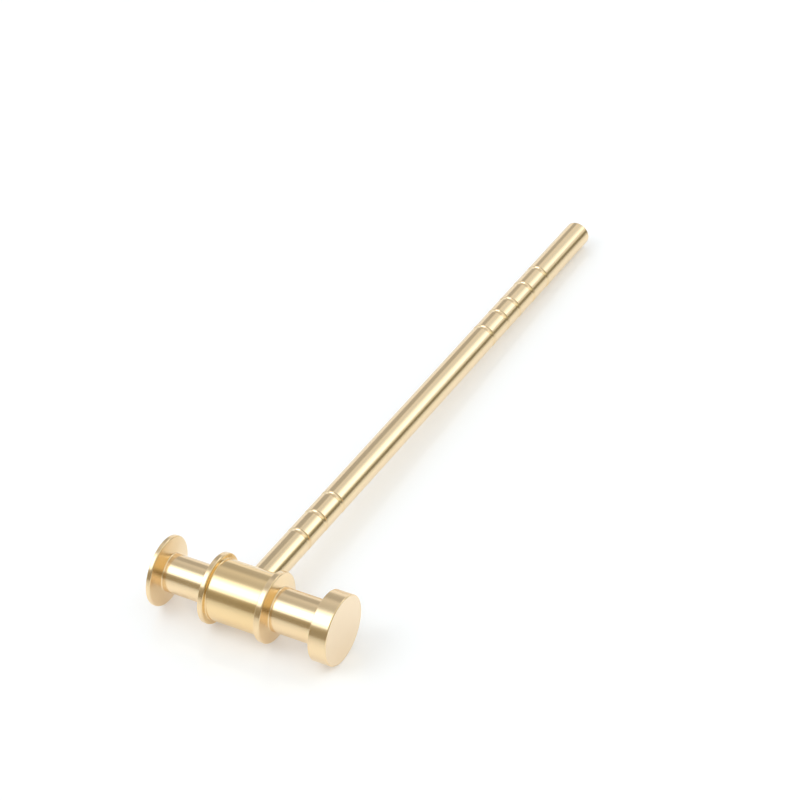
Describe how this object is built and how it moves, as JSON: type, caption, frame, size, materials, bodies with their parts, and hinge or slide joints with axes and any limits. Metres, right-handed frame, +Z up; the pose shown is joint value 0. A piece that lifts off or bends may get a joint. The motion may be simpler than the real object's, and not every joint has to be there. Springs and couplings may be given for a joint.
{
  "type": "watchmaker's hammer",
  "caption": "Small all-brass hammer with a turned double-faced head and a slim grooved handle rod screwed into the back of the head.",
  "frame": {"origin": "middle of the hammer's footprint, on the plane that it lies on", "axes": "+X along the head towards its flat striking face, +Y along the handle towards its tail, +Z up; the handle dips by under two degrees because its tail rests on the same plane as the head"},
  "size_m": [0.0478, 0.181, 0.017],
  "materials": {
    "head_brass": "fine turned and polished",
    "handle_brass": "bright drawn rod, turned grooves"
  },
  "bodies": {
    "root": {"head": "head_brass", "handle": "handle_brass"}
  },
  "joints": []
}
